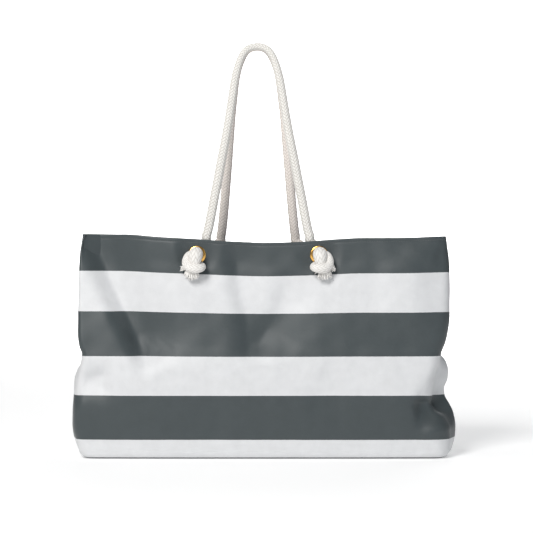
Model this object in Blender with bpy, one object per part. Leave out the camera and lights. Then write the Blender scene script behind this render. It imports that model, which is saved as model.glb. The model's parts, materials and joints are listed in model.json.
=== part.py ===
"""Weekender bag: a soft open-topped tote with a T-shaped bottom and knotted rope handles.

Lengths are in metres. +Z is up, X runs along the bag's width and the front face looks towards -Y.
The origin is on the floor, under the middle of the base.

The cloth is two mirrored panels, front and back. Each one is the face, half of both gussets and
half of the base, and the two meet at a seam down the middle of each gusset and across the base.
Under the outer cloth are a facing that backs the grommets and a lining. A handle is one rope in
life. Here it is cut where it bends over the hem: the loop above swings, and each end below stays
with the bag, passes out through its grommet and is knotted.
"""

import math

import bmesh
import bpy
import numpy as np
from mathutils import Vector

# ---- Bag body ---------------------------------------------------------------------------------
FOLD_HALF_WIDTH = 0.292  # from the middle to the fold between a face and its gusset
BASE_HALF_DEPTH = 0.070
TOP_HALF_DEPTH = 0.045
HEM_HEIGHT = 0.3427  # the top edge at the middle of a face
HEM_CORNER_RISE = 0.0128  # how much higher the top edge is at the folds
BASE_EDGE_RADIUS = 0.012
TAPER_START, TAPER_END = 0.110, 0.265  # heights between which the body narrows to its mouth
GUSSET_HALF = 0.0713  # width of half a gusset, laid flat
GUSSET_BULGE = 0.013  # how far the gusset stands out near the base
TUCK_START, TUCK_END = 0.150, 0.210  # heights between which the gusset tucks inwards
LOW_FOLD_RADIUS, HIGH_FOLD_RADIUS = 0.026, 0.0045
FOLD_SHARPENS = (0.100, 0.170)  # heights between which the fold tightens

# Where the cloth grids have their rows and columns.
ROW_HEIGHTS = (0.0, 0.0035, 0.012, 0.040, 0.075, 0.110, 0.140, 0.170, 0.200, 0.235, TAPER_END)
FACE_COLUMNS = (0.06, 0.12, 0.18, 0.235)
FOLD_STEPS = 4

# ---- Cloth layers, as depths behind the outer surface -----------------------------------------
GAP = 0.0003
OUTER_CLOTH = (0.0, 0.0016)
FACING = (0.0020, 0.0032)
LINING = (0.0020, 0.0030)
FACING_HEIGHT = 0.048
POCKET_CLOTH = (0.0034, 0.0044)
ZIP_TAPE = (0.0034, 0.0042)

# ---- Grommets ---------------------------------------------------------------------------------
HANDLE_SHIFT = -0.0085  # both handles sit a little left of the middle
GROMMET_HEIGHT = 0.3235
FRONT_GROMMET_SPREAD = 0.0972  # from the handle's middle to a grommet
BACK_GROMMET_SPREAD = 0.0810
GROMMET_HOLE_RADIUS = 0.0082
BARREL_RADIUS = 0.0090
CLOTH_HOLE_RADIUS = 0.0093
FLANGE_RADIUS = 0.0143
FLANGE_HEIGHT = 0.0020
WASHER_RADIUS = 0.0135
WASHER_THICKNESS = 0.0008
LIP_RADIUS = 0.0105
LIP_THICKNESS = 0.0009
EDGE_EASE = 0.0003  # by which the rings' edges are eased
RING_SEGMENTS = 20

# ---- Rope -------------------------------------------------------------------------------------
ROPE_RADIUS = 0.0075
ROPE_SPACING = 0.014  # between the points of a loop's tube
END_SPACING = 0.005  # between the points of a rope end's tube
HINGE_HEIGHT = 0.3500
HINGE_DEPTH = 0.0434  # the middle of the hem's thickness
LOOP_FOOT = HINGE_HEIGHT + 0.0002  # the two cut faces of the rope
END_TOP = HINGE_HEIGHT - 0.0004
FOOT_STRAIGHT = 0.0035  # a loop's legs start straight up for this length
LEG_DEPTH = 0.0337  # a leg's centre where it comes up inside the hem
INNER_DEPTH = 0.0310  # a leg's centre beside the washer
APEX_DEPTH = 0.0078  # half the distance between the two loops' centres where they lean together
APEX_HEIGHT = 0.6607
APEX_LEAN = -0.0015
FRONT_LEG_SPREAD = 0.0826  # from the handle's middle to a leg at the hem
BACK_LEG_SPREAD = 0.0612
TURN_RADIUS = 0.0085  # of the rope's centre, where it turns out through the grommet
TURN_DEPTH = 0.0395  # where that turn ends, at the mouth of the barrel
KNOT_REACH = 0.0110  # how far the rope goes on from the cloth, into the knot
# A loop's shape as (drop below the apex, half spread), read from the apex to the hem.
FRONT_LOOP = (
    (0.0, 0.0), (0.0012, 0.0085), (0.0050, 0.0164), (0.0110, 0.0218), (0.0180, 0.0258),
    (0.0270, 0.0293), (0.0387, 0.0328), (0.0549, 0.0365), (0.0872, 0.0415), (0.1114, 0.0452),
    (0.1357, 0.0492), (0.1601, 0.0536), (0.1843, 0.0583), (0.2167, 0.0643), (0.2492, 0.0705),
    (0.2653, 0.0734), (0.2814, 0.0764), (0.2990, 0.0801),
)  # fmt: skip
BACK_LOOP = (
    (0.0, 0.0), (0.0012, 0.0085), (0.0050, 0.0160), (0.0110, 0.0210), (0.0180, 0.0248),
    (0.0270, 0.0288), (0.0387, 0.0326), (0.0549, 0.0361), (0.0872, 0.0402), (0.1114, 0.0430),
    (0.1575, 0.0470), (0.1978, 0.0504), (0.2469, 0.0545), (0.2796, 0.0576), (0.2990, 0.0598),
)  # fmt: skip

# ---- Knots: places are (outwards from the grommet, away from the face, above its middle) ------
KNOT_LOBE = ((0.0060, 0.0190, -0.0030), (0.0160, 0.0160, 0.0150))
KNOT_BAND = ((0.0020, 0.0190, -0.0160), (0.0172, 0.0150, 0.0095))
TASSEL_TOP = (0.0050, 0.0180, -0.0170)
TASSEL_LENGTH = 0.0240
TASSEL_RADII = (0.0075, 0.0095)

# ---- Base board -------------------------------------------------------------------------------
BOARD_HALF_SIZE = (0.274, 0.054)
BOARD_THICKNESS = 0.0025
BOARD_CORNER_RADIUS = 0.015

# ---- Zipped pocket on the back lining ---------------------------------------------------------
POCKET_HALF_WIDTH = 0.105
POCKET_HEIGHTS = (0.125, 0.140, 0.170, 0.200, 0.235, 0.2625)
ZIP_HEIGHT = 0.2775  # the middle of the zip's chain
TAPE_HALF_WIDTH = 0.100
TAPE_WIDTH = 0.0120
CHAIN_HALF = (0.0980, 0.0022)
CHAIN_THICKNESS = 0.0018
SLIDER_REST_X = -0.085
SLIDER_HALF = (0.0055, 0.0050)
SLIDER_PLATE = 0.0015
BRIDGE_HALF_WIDTH = 0.00125
BRIDGE_POST = (0.0029, 0.0040)  # the near and far side of a post, along the zip
BRIDGE_RISE = 0.0018
BRIDGE_BAR = 0.0012
PULL_THICKNESS = 0.0011
PULL_LENGTH = 0.0200
PULL_HALF_WIDTH = 0.0032
PULL_EYE = (0.00055, 0.0056, 0.0019)  # near end, far end and half width of the hole in the pull


def smoothstep(value, start, end):
    t = min(1.0, max(0.0, (value - start) / (end - start)))
    return t * t * (3.0 - 2.0 * t)


def mix(first, second, share):
    return first + (second - first) * share


# ---- The bag's outer surface ------------------------------------------------------------------
def base_inset(z):
    """How far the rounded edge of the base draws the walls in at height z."""
    if z >= BASE_EDGE_RADIUS:
        return 0.0
    return BASE_EDGE_RADIUS - math.sqrt(BASE_EDGE_RADIUS**2 - (BASE_EDGE_RADIUS - z) ** 2)


def half_depth(z):
    return mix(BASE_HALF_DEPTH, TOP_HALF_DEPTH, smoothstep(z, TAPER_START, TAPER_END))


def gusset_bulge(z):
    return GUSSET_BULGE * math.sin(math.pi * z / TUCK_START) if z < TUCK_START else 0.0


def gusset_seam_x(z):
    """Where the seam in the middle of the gusset is: out near the base, tucked in above."""
    tuck = math.sqrt(GUSSET_HALF**2 - half_depth(z) ** 2) * smoothstep(z, TUCK_START, TUCK_END)
    return FOLD_HALF_WIDTH - base_inset(z) + gusset_bulge(z) - tuck


def half_section(z):
    """The right half of the front panel's outline at height z, from beside the middle."""
    width = FOLD_HALF_WIDTH - base_inset(z)
    depth = half_depth(z) - base_inset(z)
    radius = mix(LOW_FOLD_RADIUS, HIGH_FOLD_RADIUS, smoothstep(z, *FOLD_SHARPENS)) - base_inset(z)
    seam = Vector((gusset_seam_x(z), 0.0))
    centre = Vector((width - radius, radius - depth))
    reach = seam - centre
    leaves = math.atan2(reach.y, reach.x) - math.acos(radius / reach.length)
    points = [Vector((x, -depth)) for x in FACE_COLUMNS]
    for angle in np.linspace(-math.pi / 2, leaves, FOLD_STEPS):
        points.append(centre + radius * Vector((math.cos(angle), math.sin(angle))))
    wing = seam - points[-1]
    crown = Vector((wing.y, -wing.x)).normalized() * gusset_bulge(z) * 0.2
    points.append(points[-1] + wing * 0.5 + crown)
    points.append(seam)
    return points


def hem_height(x):
    """The top edge's height. The gussets' edge is level with the folds."""
    share = min(1.0, abs(x) / FOLD_HALF_WIDTH)
    return HEM_HEIGHT + HEM_CORNER_RISE * math.sin(math.pi / 2 * share)


def section_row(z, hem_depth=None):
    """A row of points along the front panel, from seam to seam. With hem_depth, it follows the
    top edge that far below it."""
    half = half_section(z)
    outline = [Vector((-p.x, p.y)) for p in reversed(half)] + [Vector((0.0, half[0].y))] + half
    middle = len(half)
    row = []
    for column, point in enumerate(outline):
        on_face = abs(column - middle) <= len(FACE_COLUMNS)
        top = hem_height(point.x if on_face else FOLD_HALF_WIDTH)
        row.append((point.x, point.y, z if hem_depth is None else top - hem_depth))
    return row


def panel_grid(heights, hem_depths):
    rows = [section_row(z) for z in heights]
    rows += [section_row(TAPER_END, hem_depth) for hem_depth in hem_depths]
    grid = np.array(rows)
    grid[:, (0, -1), 1] = -GAP / 2
    return grid


def grid_normals(grid):
    """Outward unit normals at the points of a grid whose rows go up and columns go right."""
    right = grid[:-1, 1:] - grid[:-1, :-1]
    up = grid[1:, :-1] - grid[:-1, :-1]
    faces = np.cross(right, up)
    faces /= np.linalg.norm(faces, axis=2, keepdims=True)
    normals = np.zeros_like(grid)
    for row in (0, 1):
        for column in (0, 1):
            end_row, end_column = grid.shape[0] - 1 + row, grid.shape[1] - 1 + column
            normals[row:end_row, column:end_column] += faces
    return normals / np.linalg.norm(normals, axis=2, keepdims=True)


def panel_offsets(grid):
    """The outward way to move each point of a panel for one metre of thickness. Points on the
    gusset seams stay on the seam, so they move further, as in a mitre."""
    offsets = grid_normals(grid)
    seams = offsets[:, (0, -1)]
    seams[..., 1] = 0.0
    offsets[:, (0, -1)] = seams / (seams**2).sum(axis=2, keepdims=True)
    if grid[0, 0, 2] == 0.0:
        offsets[0] = (0.0, 0.0, -1.0)
    return offsets


# ---- Making objects ---------------------------------------------------------------------------
def clear_scene():
    for thing in list(bpy.data.objects):
        bpy.data.objects.remove(thing)


def material(name, colour, roughness, metallic=0.0):
    made = bpy.data.materials.new(name)
    made.use_nodes = True
    shader = made.node_tree.nodes["Principled BSDF"]
    shader.inputs["Base Color"].default_value = (*colour, 1.0)
    shader.inputs["Roughness"].default_value = roughness
    shader.inputs["Metallic"].default_value = metallic
    return made


def add_object(name, data, finish=None, location=(0.0, 0.0, 0.0)):
    thing = bpy.data.objects.new(name, data)
    bpy.context.scene.collection.objects.link(thing)
    thing.location = location
    if finish is not None:
        data.materials.append(finish)
    return thing


def mesh_from(bm, name, sharp_angle=40.0):
    bmesh.ops.recalc_face_normals(bm, faces=bm.faces)
    mesh = bpy.data.meshes.new(name)
    bm.to_mesh(mesh)
    bm.free()
    mesh.shade_smooth()
    mesh.set_sharp_from_angle(angle=math.radians(sharp_angle))
    return mesh


def hide_helper(thing):
    thing.hide_render = True
    thing.display_type = "WIRE"
    return thing


def combine(target, helper, operation):
    """Joins or cuts the target with a helper object, which isn't part of the bag."""
    hide_helper(helper)
    helper.parent = target.parent
    modifier = target.modifiers.new(f"{operation.lower()}_{helper.name}", "BOOLEAN")
    modifier.operation = operation
    modifier.solver = "EXACT"
    modifier.object = helper


def cloth_layer(name, grid, offsets, depths, finish, back=False, has_base=False):
    """A closed sheet of cloth between two depths behind a grid of surface points."""
    mirror = np.array((1.0, -1.0 if back else 1.0, 1.0))
    bm = bmesh.new()
    sheets = []
    for depth in depths:
        places = (grid - offsets * depth) * mirror
        sheets.append([[bm.verts.new(place) for place in row] for row in places])
    near, far = sheets
    last_row, last_column = grid.shape[0] - 1, grid.shape[1] - 1
    for row in range(last_row):
        for column in range(last_column):
            for sheet in sheets:
                bm.faces.new((sheet[row][column], sheet[row][column + 1],
                              sheet[row + 1][column + 1], sheet[row + 1][column]))  # fmt: skip
        for column in (0, last_column):
            bm.faces.new((near[row][column], near[row + 1][column],
                          far[row + 1][column], far[row][column]))  # fmt: skip
    for row in (last_row,) if has_base else (0, last_row):
        for column in range(last_column):
            bm.faces.new((near[row][column], near[row][column + 1],
                          far[row][column + 1], far[row][column]))  # fmt: skip
    if has_base:
        for sheet in sheets:
            bm.faces.new(sheet[0])
        bm.faces.new((near[0][0], near[0][last_column], far[0][last_column], far[0][0]))
    return add_object(name, mesh_from(bm, name), finish)


def box_mesh(name, low, high):
    low, high = Vector(low), Vector(high)
    bm = bmesh.new()
    bmesh.ops.create_cube(bm, size=1.0)
    bmesh.ops.scale(bm, vec=high - low, verts=bm.verts)
    bmesh.ops.translate(bm, vec=(low + high) / 2, verts=bm.verts)
    return mesh_from(bm, name)


def shaped_box(name, solid, finish, location, joined=(), cut=()):
    """A box with other boxes joined to it and cut out of it. Each is (low, high), from location."""
    thing = add_object(name, box_mesh(name, *solid), finish, location)
    for operation, boxes in (("UNION", joined), ("DIFFERENCE", cut)):
        for index, limits in enumerate(boxes):
            label = f"{name}_{operation.lower()}_{index}"
            combine(thing, add_object(label, box_mesh(label, *limits), None, location), operation)
    return thing


def turned_ring(name, profile, finish, location, back):
    """A ring turned about the axis of a grommet. The profile is a closed outline of (radius,
    outwards) points, measured from the cloth's outer surface."""
    bm = bmesh.new()
    rings = []
    for step in range(RING_SEGMENTS):
        angle = 2 * math.pi * step / RING_SEGMENTS
        turn = Vector((math.cos(angle), math.sin(angle), 0.0))
        rings.append([bm.verts.new(turn * radius + Vector((0, 0, out))) for radius, out in profile])
    for step, ring in enumerate(rings):
        following = rings[(step + 1) % RING_SEGMENTS]
        for index in range(len(profile)):
            after = (index + 1) % len(profile)
            bm.faces.new((ring[index], ring[after], following[after], following[index]))
    thing = add_object(name, mesh_from(bm, name), finish, location)
    thing.rotation_euler.x = math.radians(-90.0 if back else 90.0)
    return thing


def smooth_path(route, spacing):
    """Points about a spacing apart on a smooth curve through the route's points."""
    route = [Vector(point) for point in route]
    ends = [2 * route[0] - route[1], *route, 2 * route[-1] - route[-2]]
    path = [route[0]]
    for before, start, end, after in zip(ends, ends[1:], ends[2:], ends[3:]):
        length = (end - start).length
        leave = (end - before) * length / ((start - before).length + length)
        arrive = (after - start) * length / ((after - end).length + length)
        steps = max(1, round(length / spacing))
        for step in range(1, steps + 1):
            t = step / steps
            path.append(
                start * (2 * t**3 - 3 * t**2 + 1) + leave * (t**3 - 2 * t**2 + t)
                + end * (3 * t**2 - 2 * t**3) + arrive * (t**3 - t**2)
            )  # fmt: skip
    return path


def rope_curve(name, path):
    curve = bpy.data.curves.new(name, "CURVE")
    curve.dimensions = "3D"
    curve.bevel_depth = ROPE_RADIUS
    curve.bevel_resolution = 3
    curve.render_resolution_u = 0
    curve.use_fill_caps = True
    spline = curve.splines.new("POLY")
    spline.points.add(len(path) - 1)
    for point, place in zip(spline.points, path):
        point.co = (*place, 1.0)
    return curve


# ---- The bag's pieces -------------------------------------------------------------------------
def face_sign(back):
    return 1.0 if back else -1.0


def grommet_places(back):
    spread = BACK_GROMMET_SPREAD if back else FRONT_GROMMET_SPREAD
    return {"left": HANDLE_SHIFT - spread, "right": HANDLE_SHIFT + spread}


def hole_cutter(name, back):
    """A pair of plugs, where the grommets' barrels pass through the cloth."""
    bm = bmesh.new()
    for x in grommet_places(back).values():
        plug = bmesh.ops.create_cone(
            bm, cap_ends=True, segments=RING_SEGMENTS,
            radius1=CLOTH_HOLE_RADIUS, radius2=CLOTH_HOLE_RADIUS, depth=0.030,
        )["verts"]  # fmt: skip
        bmesh.ops.translate(bm, vec=(x, GROMMET_HEIGHT, 0.0), verts=plug)
    cutter = add_object(name, mesh_from(bm, name), None, (0, face_sign(back) * TOP_HALF_DEPTH, 0))
    cutter.rotation_euler.x = math.radians(90.0)
    return hide_helper(cutter)


def make_cloth_body(face, back, finishes):
    cutter = hole_cutter(f"{face}_grommet_holes", back)
    outer_grid = panel_grid(ROW_HEIGHTS, (FACING_HEIGHT, 0.0))
    facing_grid = panel_grid((), (FACING_HEIGHT, 0.0))
    lining_grid = panel_grid(ROW_HEIGHTS, (FACING_HEIGHT + GAP,))
    outer = cloth_layer(f"outer_{face}_panel", outer_grid, panel_offsets(outer_grid),
                        OUTER_CLOTH, finishes["canvas"], back, has_base=True)  # fmt: skip
    facing = cloth_layer(f"top_facing_{face}", facing_grid, panel_offsets(facing_grid),
                         FACING, finishes["canvas"], back)  # fmt: skip
    cloth_layer(f"lining_{face}_panel", lining_grid, panel_offsets(lining_grid),
                LINING, finishes["lining"], back, has_base=True)  # fmt: skip
    combine(outer, cutter, "DIFFERENCE")
    combine(facing, cutter, "DIFFERENCE")


def make_grommet(face, side, x, back, finish):
    """The eyelet's barrel goes in through the cloth and its lip is rolled over the washer."""
    washer_face = -(FACING[1] + GAP)
    washer_back = washer_face - WASHER_THICKNESS
    lip_face = washer_back - GAP
    lip_back = lip_face - LIP_THICKNESS
    eyelet = (
        (GROMMET_HOLE_RADIUS, FLANGE_HEIGHT * 0.5), (BARREL_RADIUS + EDGE_EASE, FLANGE_HEIGHT),
        (FLANGE_RADIUS - FLANGE_HEIGHT, FLANGE_HEIGHT), (FLANGE_RADIUS, FLANGE_HEIGHT * 0.5),
        (FLANGE_RADIUS - EDGE_EASE, GAP), (BARREL_RADIUS, GAP), (BARREL_RADIUS, lip_face),
        (LIP_RADIUS, lip_face), (LIP_RADIUS - EDGE_EASE, lip_back),
        (GROMMET_HOLE_RADIUS + EDGE_EASE, lip_back), (GROMMET_HOLE_RADIUS, lip_face),
    )  # fmt: skip
    washer = (
        (CLOTH_HOLE_RADIUS, washer_face), (WASHER_RADIUS, washer_face),
        (WASHER_RADIUS - EDGE_EASE, washer_back), (CLOTH_HOLE_RADIUS, washer_back),
    )  # fmt: skip
    location = (x, face_sign(back) * TOP_HALF_DEPTH, GROMMET_HEIGHT)
    turned_ring(f"{face}_{side}_grommet_eyelet", eyelet, finish, location, back)
    turned_ring(f"{face}_{side}_grommet_washer", washer, finish, location, back)


def make_handle_loop(face, back, finish):
    """The rope above the hem. Its origin is on the hem, where it bends when it swings."""
    sign = face_sign(back)
    leg_spread = BACK_LEG_SPREAD if back else FRONT_LEG_SPREAD
    profile = BACK_LOOP if back else FRONT_LOOP
    origin = Vector((HANDLE_SHIFT, sign * HINGE_DEPTH, HINGE_HEIGHT))
    right = []
    for drop, half_spread in profile:
        share = drop / (APEX_HEIGHT - LOOP_FOOT)
        x = HANDLE_SHIFT + half_spread + APEX_LEAN * (1.0 - share) ** 2
        y = sign * mix(APEX_DEPTH, LEG_DEPTH, share)
        right.append((x, y, APEX_HEIGHT - drop))
    for rise in (FOOT_STRAIGHT, 0.0):
        right.append((HANDLE_SHIFT + leg_spread, sign * LEG_DEPTH, LOOP_FOOT + rise))
    left = []
    for (x, y, z), (_, half_spread) in zip(right, profile):
        left.append((x - 2 * half_spread, y, z))
    for x, y, z in right[-2:]:
        left.append((x - 2 * leg_spread, y, z))
    route = left[:0:-1] + right
    path = [point - origin for point in smooth_path(route, ROPE_SPACING)]
    add_object(f"{face}_handle_rope", rope_curve(f"{face}_handle_rope", path), finish, origin)


def rope_end_path(grommet_x, leg_x, sign):
    """From the hem down inside the bag, then out through the grommet and into the knot."""
    turn_height = GROMMET_HEIGHT + TURN_RADIUS
    route = [
        (leg_x, sign * LEG_DEPTH, END_TOP),
        (leg_x, sign * LEG_DEPTH, END_TOP - FOOT_STRAIGHT * 0.7),
        (mix(leg_x, grommet_x, 0.40), sign * mix(LEG_DEPTH, INNER_DEPTH, 0.7),
         mix(END_TOP, turn_height, 0.54)),
        (mix(leg_x, grommet_x, 0.85), sign * INNER_DEPTH, turn_height),
    ]  # fmt: skip
    for angle in (30.0, 60.0, 90.0):
        turn = math.radians(angle)
        depth = TURN_DEPTH - TURN_RADIUS * math.cos(turn)
        x = mix(leg_x, grommet_x, 0.85 + 0.15 * math.sin(turn))
        route.append((x, sign * depth, turn_height - TURN_RADIUS * math.sin(turn)))
    for out in (0.0, KNOT_REACH):
        route.append((grommet_x, sign * (TOP_HALF_DEPTH + out), GROMMET_HEIGHT))
    return smooth_path(route, END_SPACING)


def knot_place(place, grommet_x, outwards, sign):
    across, away, up = place
    depth = sign * (TOP_HALF_DEPTH + away)
    return Vector((grommet_x + outwards * across, depth, GROMMET_HEIGHT + up))


def make_rope_end(face, side, grommet_x, leg_x, back, finish):
    name = f"{face}_{side}_rope_end"
    sign = face_sign(back)
    outwards = -1.0 if side == "left" else 1.0
    guide = add_object(f"{name}_guide", rope_curve(name, rope_end_path(grommet_x, leg_x, sign)))
    hide_helper(guide)
    rope = add_object(name, bpy.data.meshes.new_from_object(guide), finish)
    for label, (place, radii) in (("lobe", KNOT_LOBE), ("band", KNOT_BAND)):
        bm = bmesh.new()
        bmesh.ops.create_uvsphere(bm, u_segments=14, v_segments=9, radius=1.0)
        bmesh.ops.scale(bm, vec=radii, verts=bm.verts)
        centre = knot_place(place, grommet_x, outwards, sign)
        combine(rope, add_object(f"{name}_{label}", mesh_from(bm, label), None, centre), "UNION")
    bm = bmesh.new()
    bmesh.ops.create_cone(bm, cap_ends=True, segments=10, radius1=TASSEL_RADII[1],
                          radius2=TASSEL_RADII[0], depth=TASSEL_LENGTH)  # fmt: skip
    centre = knot_place(TASSEL_TOP, grommet_x, outwards, sign) - Vector((0, 0, TASSEL_LENGTH / 2))
    combine(rope, add_object(f"{name}_tassel", mesh_from(bm, "tassel"), None, centre), "UNION")


def make_board(finish):
    """A stiff insert that lies on the lining and keeps the base flat."""
    half_x, half_y = BOARD_HALF_SIZE
    bm = bmesh.new()
    outline = []
    for corner in range(4):
        right = 1.0 if corner in (0, 3) else -1.0
        rear = 1.0 if corner in (0, 1) else -1.0
        for step in range(5):
            angle = math.radians(90.0 * corner + 22.5 * step)
            x = right * (half_x - BOARD_CORNER_RADIUS) + BOARD_CORNER_RADIUS * math.cos(angle)
            y = rear * (half_y - BOARD_CORNER_RADIUS) + BOARD_CORNER_RADIUS * math.sin(angle)
            outline.append(bm.verts.new((x, y, LINING[1] + GAP)))
    base = bm.faces.new(outline)
    raised = bmesh.ops.extrude_face_region(bm, geom=[base])["geom"]
    lifted = [item for item in raised if isinstance(item, bmesh.types.BMVert)]
    bmesh.ops.translate(bm, vec=(0, 0, BOARD_THICKNESS), verts=lifted)
    add_object("base_insert_board", mesh_from(bm, "base_insert_board"), finish)


def back_patch(name, half_width, heights, depths, finish):
    """A flat piece of cloth sewn to the back lining, which it follows."""
    rows = []
    for z in heights:
        y = -np.interp(z, ROW_HEIGHTS, [half_depth(row) for row in ROW_HEIGHTS])
        rows.append([(-half_width, y, z), (0.0, y, z), (half_width, y, z)])
    grid = np.array(rows)
    cloth_layer(name, grid, grid_normals(grid), depths, finish, back=True)


def make_pocket(finishes):
    """A patch pocket whose mouth is closed by a zip with one slider."""
    back_patch("pocket_panel", POCKET_HALF_WIDTH, POCKET_HEIGHTS, POCKET_CLOTH,
               finishes["lining"])  # fmt: skip
    chain_half_length, chain_half_width = CHAIN_HALF
    for label, way in (("lower", -1.0), ("upper", 1.0)):
        near = ZIP_HEIGHT + way * (chain_half_width + GAP)
        heights = sorted((near, near + way * TAPE_WIDTH))
        back_patch(f"pocket_zip_tape_{label}", TAPE_HALF_WIDTH, heights, ZIP_TAPE,
                   finishes["zip_tape"])  # fmt: skip
    # From here on, y is measured inwards from the outer cloth, so it counts down from the back.
    tape_front = TOP_HALF_DEPTH - ZIP_TAPE[1]
    chain_back = TOP_HALF_DEPTH - ZIP_TAPE[0]
    chain_front = chain_back - CHAIN_THICKNESS
    shaped_box(
        "pocket_zip_chain",
        ((-chain_half_length, chain_front, -chain_half_width),
         (chain_half_length, chain_back, chain_half_width)),
        finishes["zip_tape"], (0.0, 0.0, ZIP_HEIGHT),
    )  # fmt: skip
    make_zip_slider(tape_front, chain_front, chain_half_width, finishes["zip_metal"])


def make_zip_slider(tape_front, chain_front, chain_half_width, finish):
    half_length, half_width = SLIDER_HALF
    plate_back = chain_front - GAP
    plate_front = plate_back - SLIDER_PLATE
    arch = plate_front - BRIDGE_RISE
    bar_front = arch - BRIDGE_BAR
    origin = Vector((SLIDER_REST_X, (plate_front + arch) / 2, ZIP_HEIGHT))
    flange_near = chain_half_width + GAP
    joined = []
    for low_z, high_z in ((-half_width, -flange_near), (flange_near, half_width)):
        joined.append(((-half_length, plate_front, low_z), (half_length, tape_front - GAP, high_z)))
    post_near, post_far = BRIDGE_POST
    for low_x, high_x in ((-post_far, -post_near), (post_near, post_far)):
        joined.append(((low_x, bar_front, -BRIDGE_HALF_WIDTH),
                       (high_x, plate_front + GAP, BRIDGE_HALF_WIDTH)))  # fmt: skip
    joined.append(((-post_far, bar_front, -BRIDGE_HALF_WIDTH),
                   (post_far, arch, BRIDGE_HALF_WIDTH)))  # fmt: skip
    plate = ((-half_length, plate_front, -half_width), (half_length, plate_back, half_width))
    shift = Vector((0.0, origin.y, 0.0))
    plate = tuple(Vector(corner) - shift for corner in plate)
    joined = [tuple(Vector(corner) - shift for corner in box) for box in joined]
    shaped_box("pocket_zip_slider", plate, finish, origin, joined=joined)
    eye_near, eye_far, eye_half = PULL_EYE
    half = PULL_THICKNESS / 2
    shaped_box(
        "pocket_zip_pull",
        ((-eye_near, -half, -PULL_HALF_WIDTH), (PULL_LENGTH, half, PULL_HALF_WIDTH)),
        finish, origin,
        cut=[((eye_near, -2 * half, -eye_half), (eye_far, 2 * half, eye_half))],
    )  # fmt: skip


def main():
    clear_scene()
    finishes = {
        "canvas": material("printed_canvas", (0.12, 0.14, 0.145), 0.85),
        "lining": material("lining_cloth", (0.62, 0.60, 0.56), 0.8),
        "rope": material("cotton_rope", (0.83, 0.81, 0.77), 0.9),
        "brass": material("polished_brass", (0.78, 0.50, 0.16), 0.22, 1.0),
        "board": material("grey_board", (0.16, 0.16, 0.17), 0.7),
        "zip_tape": material("zip_tape", (0.55, 0.53, 0.50), 0.75),
        "zip_metal": material("zip_metal", (0.72, 0.50, 0.20), 0.3, 1.0),
    }
    for face, back in (("front", False), ("back", True)):
        make_cloth_body(face, back, finishes)
        make_handle_loop(face, back, finishes["rope"])
        leg_spread = BACK_LEG_SPREAD if back else FRONT_LEG_SPREAD
        for side, x in grommet_places(back).items():
            leg_x = HANDLE_SHIFT + math.copysign(leg_spread, x - HANDLE_SHIFT)
            make_grommet(face, side, x, back, finishes["brass"])
            make_rope_end(face, side, x, leg_x, back, finishes["rope"])
    make_board(finishes["board"])
    make_pocket(finishes)


main()
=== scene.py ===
"""Looks of the striped weekender bag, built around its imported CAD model. Lengths are in metres."""

import json
import math

import bmesh
import bpy
import numpy as np
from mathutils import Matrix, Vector


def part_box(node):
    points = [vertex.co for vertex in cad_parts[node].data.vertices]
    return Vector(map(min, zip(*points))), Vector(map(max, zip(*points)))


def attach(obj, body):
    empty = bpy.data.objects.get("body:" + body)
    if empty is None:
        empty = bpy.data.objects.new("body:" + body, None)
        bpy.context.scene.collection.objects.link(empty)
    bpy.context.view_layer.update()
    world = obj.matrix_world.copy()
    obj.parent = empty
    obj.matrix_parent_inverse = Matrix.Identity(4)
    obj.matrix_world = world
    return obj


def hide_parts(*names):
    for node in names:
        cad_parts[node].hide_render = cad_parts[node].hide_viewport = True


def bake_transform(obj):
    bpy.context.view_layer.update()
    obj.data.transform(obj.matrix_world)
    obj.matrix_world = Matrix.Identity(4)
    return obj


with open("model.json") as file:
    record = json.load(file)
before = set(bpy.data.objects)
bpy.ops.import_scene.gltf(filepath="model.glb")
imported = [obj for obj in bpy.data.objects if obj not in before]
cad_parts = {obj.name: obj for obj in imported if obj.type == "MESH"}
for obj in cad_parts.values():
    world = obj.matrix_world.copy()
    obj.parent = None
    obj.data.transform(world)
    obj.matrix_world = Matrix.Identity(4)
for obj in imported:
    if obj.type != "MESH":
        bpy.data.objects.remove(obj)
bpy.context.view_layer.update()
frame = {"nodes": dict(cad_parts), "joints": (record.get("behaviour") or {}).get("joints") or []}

# ---- Places, from the frame ------------------------------
JOINTS = {joint["name"]: joint for joint in frame["joints"]}
HINGE = {face: Vector(JOINTS[f"{face}_handle_swing"]["pos_m"]) for face in ("front", "back")}
HANDLE_X = HINGE["front"].x
FACE_SIGN = {"front": -1.0, "back": 1.0}
SIDE_SIGN = {"left": -1.0, "right": 1.0}
EYELETS = {}
for _face in FACE_SIGN:
    for _side in SIDE_SIGN:
        _low, _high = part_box(f"{_face}_{_side}_grommet_eyelet")
        EYELETS[_face, _side] = (_low + _high) / 2
TOP_DEPTH = 0.045  # half the mouth's depth, to the outer cloth
SEAM_GAP = 0.0003


def smooth_curve(*points):
    """A function through (place, value) points that never overshoots them."""
    at, value = (np.array(side, float) for side in zip(*points))
    step = np.diff(at)
    slope = np.diff(value) / step
    tangent = np.zeros_like(value)
    before, after = slope[:-1], slope[1:]
    turns = before * after <= 0
    w1, w2 = 2 * step[1:] + step[:-1], step[1:] + 2 * step[:-1]
    mean = (w1 + w2) / (w1 / np.where(turns, 1, before) + w2 / np.where(turns, 1, after))
    tangent[1:-1] = np.where(turns, 0, mean)
    tangent[0], tangent[-1] = slope[0], slope[-1]

    def evaluate(x):
        x = np.clip(x, at[0], at[-1])
        i = np.clip(np.searchsorted(at, x, "right") - 1, 0, len(step) - 1)
        h = step[i]
        t = (x - at[i]) / h
        return (
            value[i] * (1 + 2 * t) * (1 - t) ** 2 + h * tangent[i] * t * (1 - t) ** 2
            + value[i + 1] * t * t * (3 - 2 * t) + h * tangent[i + 1] * t * t * (t - 1)
        )

    return evaluate


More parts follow.
